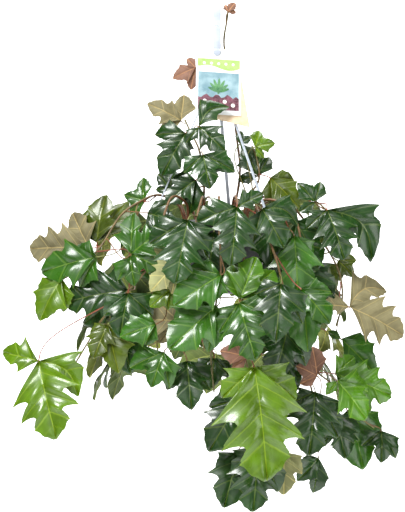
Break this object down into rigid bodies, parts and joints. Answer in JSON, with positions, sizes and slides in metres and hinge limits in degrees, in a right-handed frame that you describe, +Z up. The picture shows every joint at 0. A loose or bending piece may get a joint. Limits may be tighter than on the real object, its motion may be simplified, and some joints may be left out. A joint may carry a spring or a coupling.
{
  "type": "grape ivy in a hanging pot",
  "caption": "Trailing climbing plant with glossy, deeply cut three-part leaves in a round plastic pot that hangs by straps from a hook, with blank hang cards.",
  "frame": {"origin": "inside top of the hook, where it bears on the rod or rail that carries it", "axes": "+Z up, the front of the plant with the hang cards faces -Y, +X to the right seen from the front"},
  "size_m": [0.4679, 0.3481, 0.591],
  "materials": {
    "leaf": "glossy dark green upper faces with paler undersides, red-brown stalks",
    "hanger": "translucent white moulded plastic",
    "pot": "satin black moulded plastic",
    "soil": "crumbly dark peat",
    "card": null,
    "tan_card": "plain tan card"
  },
  "bodies": {
    "root": {"climber": "leaf", "upper_left": "leaf", "upper_right": "leaf", "left_high": "leaf", "left_low": "leaf", "front_left": "leaf", "front": "leaf", "front_right": "leaf", "right_front": "leaf", "right_top": "leaf", "right_mid": "leaf", "right_low": "leaf", "back_1": "leaf", "back_2": "leaf", "back_3": "leaf", "back_4": "leaf", "back_5": "leaf", "hook": "hanger", "strap_left": "hanger", "strap_right": "hanger", "strap_back": "hanger", "pot": "pot", "soil": "soil", "label_card": "card", "label_backing": "tan_card"}
  },
  "joints": []
}
